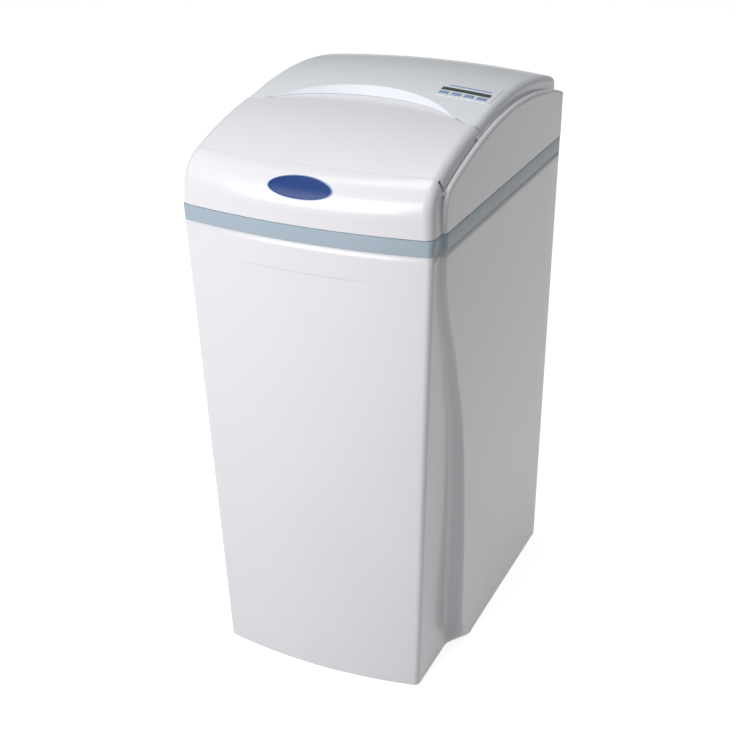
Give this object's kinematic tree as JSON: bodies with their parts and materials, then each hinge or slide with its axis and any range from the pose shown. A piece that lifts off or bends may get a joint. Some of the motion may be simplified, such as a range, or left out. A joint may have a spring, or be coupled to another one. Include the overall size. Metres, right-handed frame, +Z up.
{
  "type": "iron reduction filter",
  "caption": "Compact cabinet iron reduction filter for house water: tapered tub, hinged lid, control deck, media tank, motor-driven control valve and bypass valve.",
  "frame": {"origin": "on the floor, on the centre plane of the cabinet, half way between the front and rear planes of the trim band", "axes": "+X to the right seen from the front, +Y to the rear, +Z up; the front faces -Y"},
  "size_m": [0.364, 0.582, 0.8255],
  "materials": {
    "body_white": "gloss",
    "lid_pearl": "gloss",
    "deck_pearl": "gloss",
    "band_grey": "satin",
    "badge_blue": "gloss",
    "window": "gloss",
    "black_plastic": "satin",
    "board_green": "satin",
    "steel": "satin",
    "tank_grey": "satin",
    "pipe_white": "satin",
    "gravel": "rough",
    "media": "rough",
    "seal_rubber": "matte",
    "valve_black": "satin",
    "gear_white": "satin",
    "tube_clear": "satin",
    "handle_red": "satin",
    "pipe_brass": "satin",
    "key_grey": "satin"
  },
  "bodies": {
    "body": {"air_check_valve": "pipe_white", "air_tube": "tube_clear", "axle_clip": "steel", "badge": "badge_blue", "bracket_screws": "steel", "bypass_body": "valve_black", "cabinet": "body_white", "circuit_board": "board_green", "control_deck": "deck_pearl", "controller_housing": "black_plastic", "controller_screws": "steel", "cover_screws": "steel", "display_bezel": "deck_pearl", "display_module": "black_plastic", "display_window": "window", "drain_elbow": "valve_black", "drain_fitting": "pipe_white", "drain_tube": "tube_clear", "drive_bracket": "valve_black", "drive_cap": "valve_black", "drive_motor": "steel", "filter_media": "media", "gravel_bed": "gravel", "hinge_pins": "steel", "injector_body": "valve_black", "injector_cap": "valve_black", "inlet_stub": "pipe_brass", "lower_distributor": "pipe_white", "media_tank": "tank_grey", "motor_screws": "steel", "neck_oring": "seal_rubber", "outlet_stub": "pipe_brass", "power_socket": "black_plastic", "quick_clips": "steel", "riser_tube": "pipe_white", "spacer_stack": "pipe_white", "stack_seals": "seal_rubber", "tank_boot": "black_plastic", "top_cover": "body_white", "trim_band": "band_grey", "upper_screen": "pipe_white", "valve_body": "valve_black"},
    "lid": {"lid": "lid_pearl"},
    "key_1": {"button_1": "key_grey"},
    "key_2": {"button_2": "key_grey"},
    "key_3": {"button_3": "key_grey"},
    "key_4": {"button_4": "key_grey"},
    "inlet_valve": {"bypass_inlet_rotor": "pipe_white", "inlet_handle": "handle_red"},
    "outlet_valve": {"bypass_outlet_rotor": "pipe_white", "outlet_handle": "handle_red"},
    "drive_wheel": {"drive_gear": "gear_white"},
    "reduction_wheel": {"reduction_gear": "gear_white"},
    "pinion": {"motor_pinion": "gear_white"},
    "piston": {"piston": "pipe_white", "piston_rod": "steel"}
  },
  "joints": [
    {"name": "lid_hinge", "type": "hinge", "parent": "body", "child": "lid", "pos_m": [0, -0.083, 0.79551], "axis": [-1, 0, 0], "range_deg": [0, 75]},
    {"name": "key_1_press", "type": "slide", "parent": "body", "child": "key_1", "axis": [0, 0, -1], "range_m": [0, 0.001], "stiffness_N_per_m": 400, "springref_m": -0.001},
    {"name": "key_2_press", "type": "slide", "parent": "body", "child": "key_2", "axis": [0, 0, -1], "range_m": [0, 0.001], "stiffness_N_per_m": 400, "springref_m": -0.001},
    {"name": "key_3_press", "type": "slide", "parent": "body", "child": "key_3", "axis": [0, 0, -1], "range_m": [0, 0.001], "stiffness_N_per_m": 400, "springref_m": -0.001},
    {"name": "key_4_press", "type": "slide", "parent": "body", "child": "key_4", "axis": [0, 0, -1], "range_m": [0, 0.001], "stiffness_N_per_m": 400, "springref_m": -0.001},
    {"name": "inlet_turn", "type": "hinge", "parent": "body", "child": "inlet_valve", "pos_m": [-0.032, 0.262, 0.59], "axis": [0, 0, -1], "range_deg": [0, 90]},
    {"name": "outlet_turn", "type": "hinge", "parent": "body", "child": "outlet_valve", "pos_m": [0.032, 0.262, 0.59], "axis": [0, 0, 1], "range_deg": [0, 90]},
    {"name": "drive_gear_spin", "type": "hinge", "parent": "body", "child": "drive_wheel", "pos_m": [0.076, 0.11, 0.615], "axis": [1, 0, 0], "range_deg": [0, 720]},
    {"name": "reduction_gear_spin", "type": "hinge", "parent": "body", "child": "reduction_wheel", "pos_m": [0.08, 0.11, 0.65875], "axis": [1, 0, 0], "range_deg": [-2880, 0]},
    {"name": "pinion_spin", "type": "hinge", "parent": "body", "child": "pinion", "pos_m": [0.085, 0.07625, 0.65875], "axis": [1, 0, 0], "range_deg": [0, 10080]},
    {"name": "piston_slide", "type": "slide", "parent": "body", "child": "piston", "axis": [1, 0, 0], "range_m": [0, 0.024]}
  ],
  "couplings": [
    {"joint": "reduction_gear_spin", "follows": "drive_gear_spin", "ratio": -4},
    {"joint": "pinion_spin", "follows": "drive_gear_spin", "ratio": 14},
    {"joint": "piston_slide", "follows": "drive_gear_spin", "m_per_rad": 0.0019099}
  ]
}
